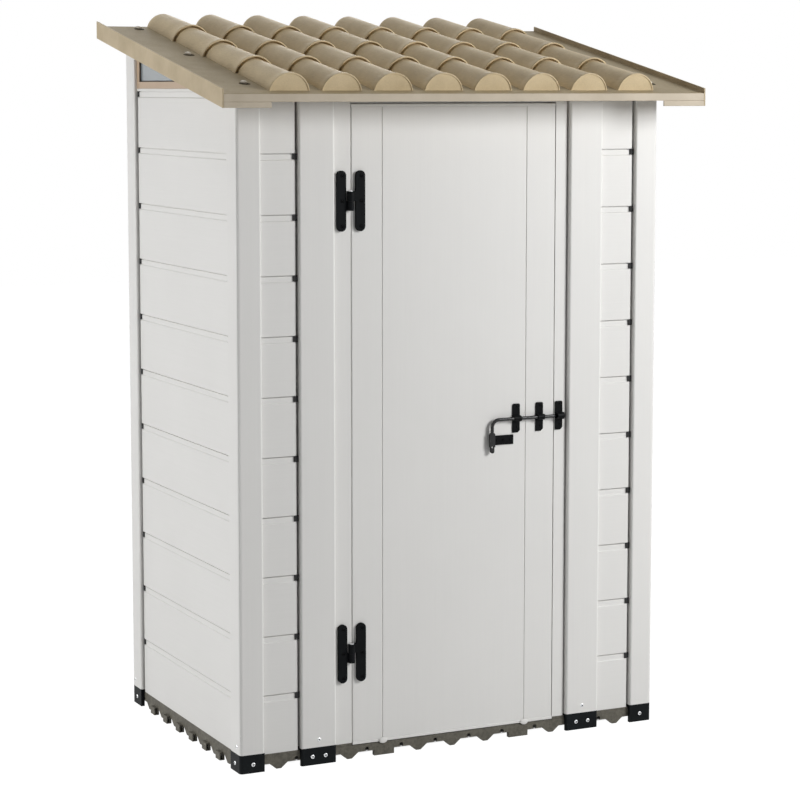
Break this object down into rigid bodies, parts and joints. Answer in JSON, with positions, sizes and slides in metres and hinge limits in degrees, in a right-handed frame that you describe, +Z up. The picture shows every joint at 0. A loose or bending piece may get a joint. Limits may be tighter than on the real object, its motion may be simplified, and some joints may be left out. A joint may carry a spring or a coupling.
{
  "type": "garden shed",
  "caption": "Small pent-roof garden shed of hollow plastic boards between square posts, with tiled roof, plastic floor and a hinged door with slide bolt.",
  "frame": {"origin": "on the ground under the middle of the roof's outline", "axes": "+X to the right seen from the door side, +Y from the door side to the back, +Z up"},
  "size_m": [1.354, 0.92, 1.9088],
  "materials": {
    "wall_plastic": "fine-textured light grey",
    "floor_plastic": "taupe grey, slightly grainy",
    "roof_plastic": "beige, satin",
    "sash_plastic": "beige, satin",
    "pane_plastic": "translucent pale blue grey",
    "foot_plastic": "black, fine-textured",
    "hinge_plastic": "black, satin",
    "black_steel": "black powder coat",
    "zinc_steel": "bright zinc plating",
    "seal_rubber": "black, dull"
  },
  "bodies": {
    "shed": {"floor_tile_front_left": "floor_plastic", "floor_tile_front_middle": "floor_plastic", "floor_tile_front_right": "floor_plastic", "floor_tile_back_left": "floor_plastic", "floor_tile_back_middle": "floor_plastic", "floor_tile_back_right": "floor_plastic", "sill_strips": "floor_plastic", "corner_foot_front_left": "foot_plastic", "corner_foot_front_right": "foot_plastic", "corner_foot_back_left": "foot_plastic", "corner_foot_back_right": "foot_plastic", "door_foot_left": "foot_plastic", "door_foot_right": "foot_plastic", "corner_post_front_left": "wall_plastic", "corner_post_front_right": "wall_plastic", "corner_post_back_left": "wall_plastic", "corner_post_back_right": "wall_plastic", "door_post_left": "wall_plastic", "door_post_right": "wall_plastic", "hinge_jamb": "wall_plastic", "lock_jamb": "wall_plastic", "door_header": "wall_plastic", "top_rails": "wall_plastic", "back_rail": "wall_plastic", "boards_left": "wall_plastic", "boards_right": "wall_plastic", "boards_back": "wall_plastic", "boards_front_left": "wall_plastic", "boards_front_right": "wall_plastic", "board_clips": "seal_rubber", "window_frame_left": "sash_plastic", "window_frame_right": "sash_plastic", "window_pane_left": "pane_plastic", "window_pane_right": "pane_plastic", "window_seal_left": "seal_rubber", "window_seal_right": "seal_rubber", "roof_pan": "roof_plastic", "roof_tiles": "roof_plastic", "bargeboard_left": "roof_plastic", "bargeboard_right": "roof_plastic", "eaves_trim": "roof_plastic", "eaves_corners": "roof_plastic", "roof_screws": "roof_plastic", "hinge_frame_leaves": "hinge_plastic", "hinge_pins": "zinc_steel", "bolt_keeper": "black_steel", "frame_screws": "zinc_steel"},
    "door": {"door_hinge_stile": "wall_plastic", "door_panel": "wall_plastic", "door_lock_stile": "wall_plastic", "door_top_rail": "wall_plastic", "door_bottom_rail": "wall_plastic", "hinge_door_leaves": "hinge_plastic", "bolt_guides": "black_steel", "hasp_plate": "black_steel", "door_screws": "zinc_steel"},
    "bolt": {"bolt_rod": "black_steel"},
    "handle": {"bolt_handle": "black_steel"}
  },
  "joints": [
    {"name": "door_hinge", "type": "hinge", "parent": "shed", "child": "door", "pos_m": [-0.292, -0.3475, 0.036], "axis": [0, 0, -1], "range_deg": [0, 150]},
    {"name": "bolt_slide", "type": "slide", "parent": "door", "child": "bolt", "axis": [1, 0, 0], "range_m": [0, 0.037]},
    {"name": "handle_turn", "type": "hinge", "parent": "bolt", "child": "handle", "pos_m": [0.11, -0.348, 0.852], "axis": [-1, 0, 0], "range_deg": [0, 100]}
  ]
}
